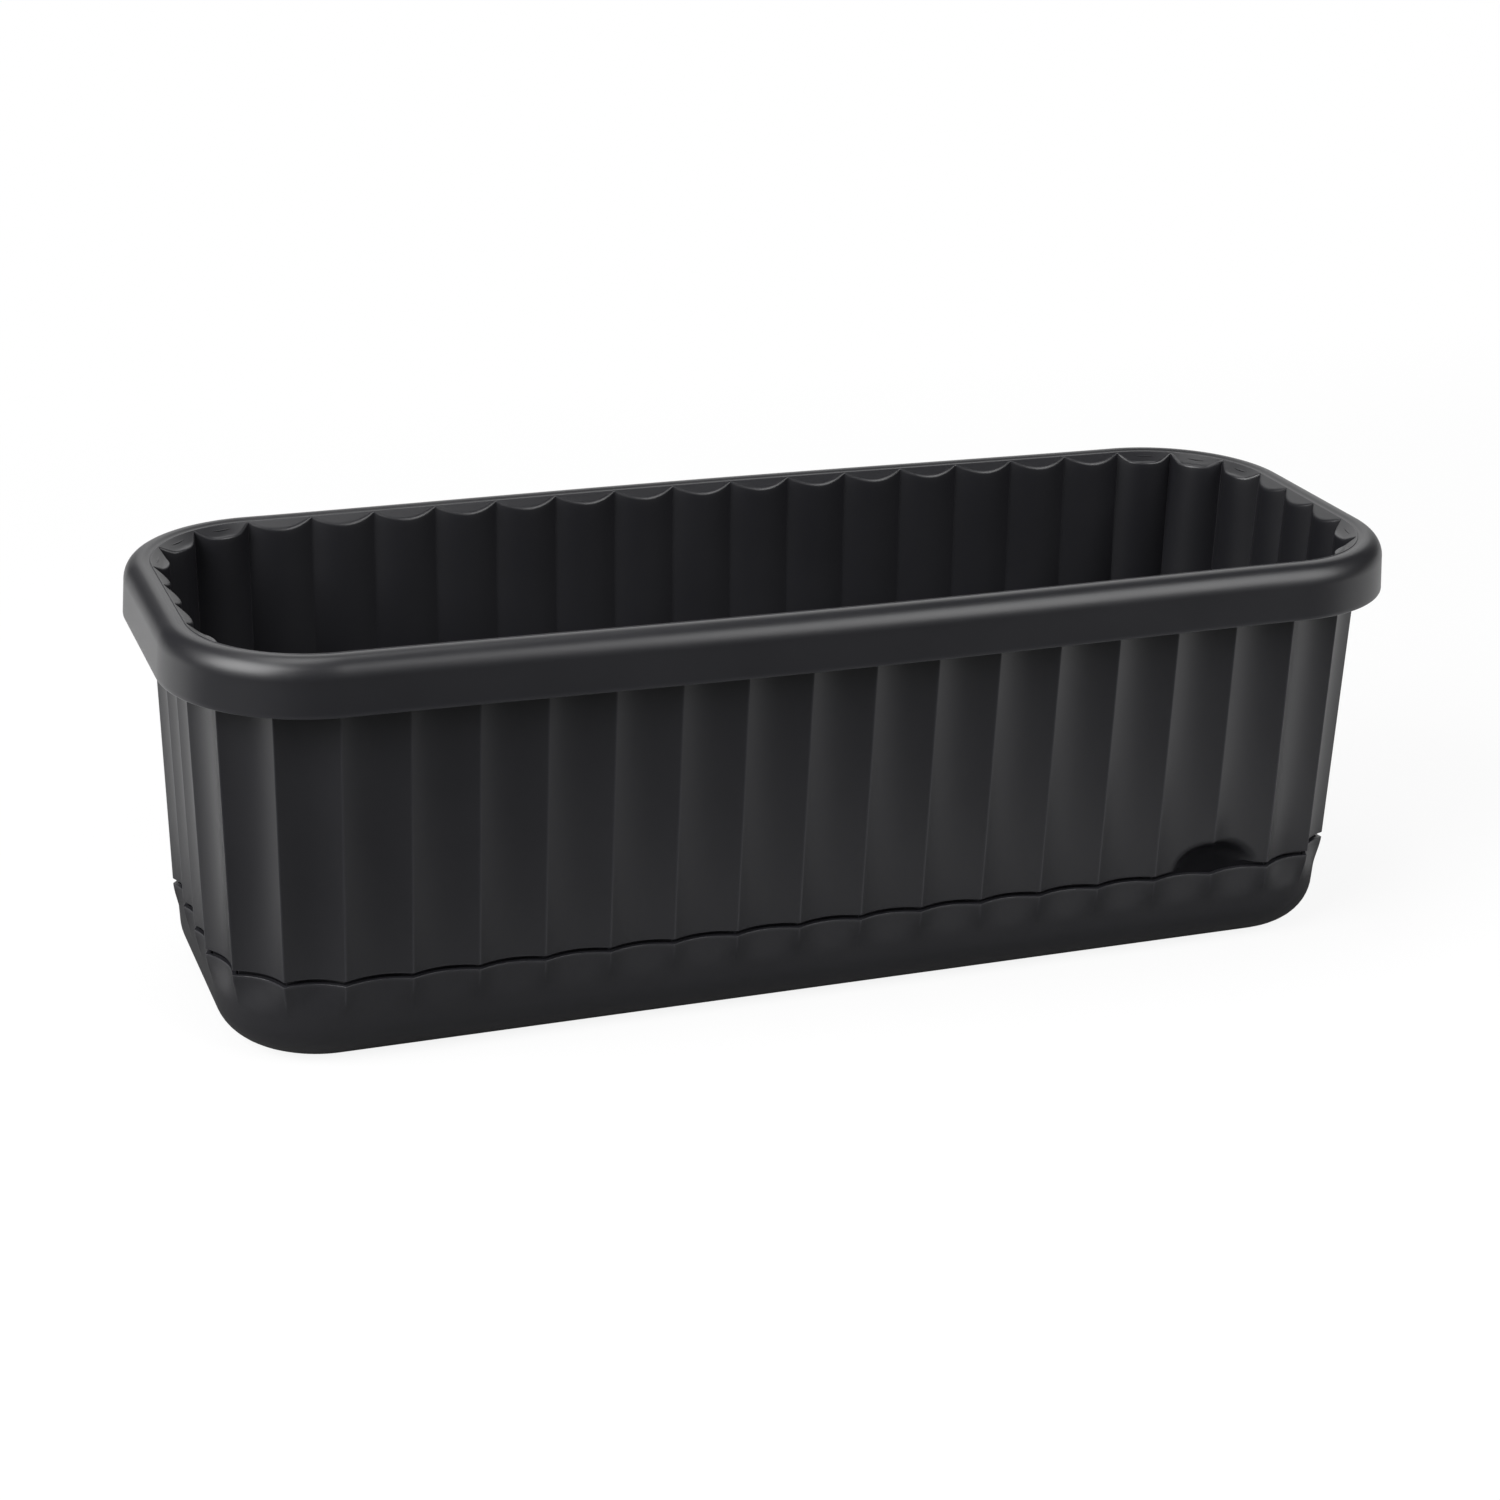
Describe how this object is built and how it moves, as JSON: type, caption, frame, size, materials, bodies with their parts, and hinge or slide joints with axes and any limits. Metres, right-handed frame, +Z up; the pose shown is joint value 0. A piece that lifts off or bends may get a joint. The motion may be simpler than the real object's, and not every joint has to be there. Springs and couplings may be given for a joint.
{
  "type": "window box planter",
  "caption": "Long tapered window box with fluted walls and a rolled rim, lifting off a saucer that has a filling pocket over its edge.",
  "frame": {"origin": "on the floor, below the centre of the planter", "axes": "+X along the box, +Z up, the filling pocket near the +X end of the -Y side"},
  "size_m": [0.6, 0.227, 0.201],
  "materials": {
    "anthracite_plastic": "satin-matt moulded polypropylene, through-coloured"
  },
  "bodies": {
    "saucer": {"saucer": "anthracite_plastic"},
    "box": {"planter_box": "anthracite_plastic"}
  },
  "joints": [
    {"name": "box_lift", "type": "slide", "parent": "saucer", "child": "box", "axis": [0, 0, 1], "range_m": [0, 0.06]}
  ]
}
